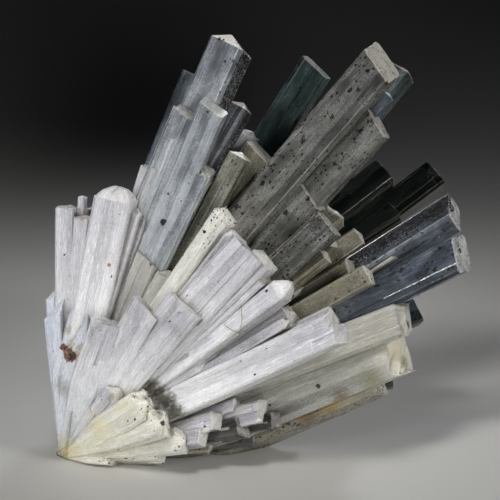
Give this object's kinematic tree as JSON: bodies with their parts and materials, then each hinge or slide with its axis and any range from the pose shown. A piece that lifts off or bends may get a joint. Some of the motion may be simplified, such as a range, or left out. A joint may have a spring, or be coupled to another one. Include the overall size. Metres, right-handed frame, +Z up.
{
  "type": "natrolite specimen",
  "caption": "Natrolite mineral specimen: a spray of glassy four-sided prisms, milky where they grow together, fanning out from one growth point above a flat cut foot.",
  "frame": {"origin": "middle of the foot of the bounding box, on the surface that the specimen stands on", "axes": "+Z up from the flat cut, +X to the right of the picture, -Y toward the viewer"},
  "size_m": [0.0622, 0.0506, 0.0599],
  "materials": {
    "natrolite": "clear to milky white, vitreous prism faces with fine lengthwise striation"
  },
  "bodies": {
    "root": {"natrolite_spray": "natrolite"}
  },
  "joints": []
}
